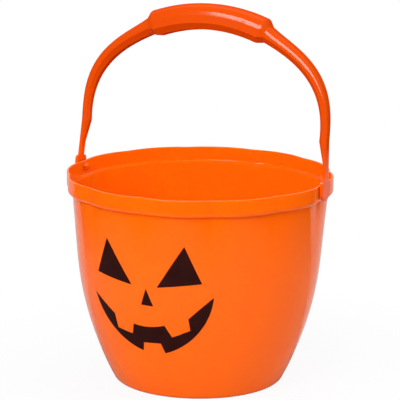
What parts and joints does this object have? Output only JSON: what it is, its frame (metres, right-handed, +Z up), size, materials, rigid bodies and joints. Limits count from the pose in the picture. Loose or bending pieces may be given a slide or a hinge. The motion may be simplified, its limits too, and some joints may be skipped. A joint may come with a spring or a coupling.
{
  "type": "pumpkin candy pail",
  "caption": "Round lobed plastic pail with a stepped collar, a swinging bail with a thick grip, and a jack-o'-lantern face printed on the front.",
  "frame": {"origin": "centre of the foot ring, on the surface the pail stands on", "axes": "+Z up, the printed face looks towards -Y, the bail's pivot axis lies along X"},
  "size_m": [0.2184, 0.2112, 0.3018],
  "materials": {
    "pail_plastic": "satin gloss moulded orange plastic",
    "bail_plastic": "gloss moulded orange plastic",
    "face_ink": "satin brown-black pad print"
  },
  "bodies": {
    "pail": {"pail_body": "pail_plastic", "left_eye_print": "face_ink", "right_eye_print": "face_ink", "nose_print": "face_ink", "mouth_print": "face_ink"},
    "bail": {"bail_handle": "bail_plastic"}
  },
  "joints": [
    {"name": "bail_swing", "type": "hinge", "parent": "pail", "child": "bail", "pos_m": [0, 0, 0.1635], "axis": [1, 0, 0], "range_deg": [-112.8, 129.2]}
  ]
}
